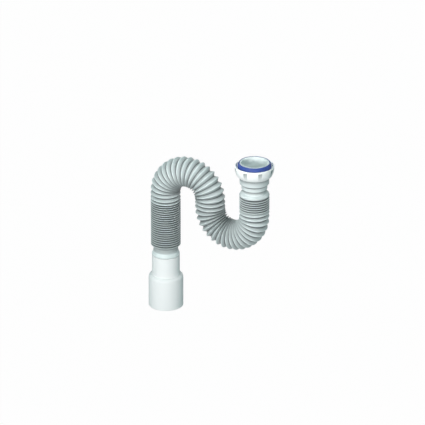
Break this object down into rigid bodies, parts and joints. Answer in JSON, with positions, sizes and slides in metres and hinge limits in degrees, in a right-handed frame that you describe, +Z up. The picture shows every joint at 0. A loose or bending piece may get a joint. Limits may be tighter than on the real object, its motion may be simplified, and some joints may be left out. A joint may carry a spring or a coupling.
{
  "type": "corrugated waste pipe",
  "caption": "Extensible corrugated waste pipe, S-bent, with a union nut and cone seal at its inlet and a stepped outlet sleeve for 40 mm and 50 mm drains.",
  "frame": {"origin": "middle of the bounding box's lower side, on the surface that the pipe lies on", "axes": "+Y along both legs, from the outlet to the inlet; +X across the bends, from the outlet leg to the inlet leg; +Z up, square to the plane of the bends"},
  "size_m": [0.1958, 0.2514, 0.0562],
  "materials": {
    "pipe_plastic": "blow-moulded polypropylene, light grey, satin",
    "nut_plastic": "injection-moulded polypropylene, white, semi-gloss",
    "seal_rubber": "moulded rubber, blue, matt",
    "sleeve_plastic": "injection-moulded polypropylene, white, semi-gloss"
  },
  "bodies": {
    "pipe": {"corrugated_pipe": "pipe_plastic", "cone_seal": "seal_rubber"},
    "outlet": {"outlet_sleeve": "sleeve_plastic"},
    "nut": {"union_nut": "nut_plastic"}
  },
  "joints": [
    {"name": "nut_spin", "type": "hinge", "parent": "pipe", "child": "nut", "pos_m": [0.06985, 0.1132, 0.0281], "axis": [0, 1, 0], "continuous": true},
    {"name": "outlet_stretch", "type": "slide", "parent": "pipe", "child": "outlet", "axis": [0, -1, 0], "range_m": [0, 0.06], "deforming": ["corrugated_pipe"]}
  ]
}
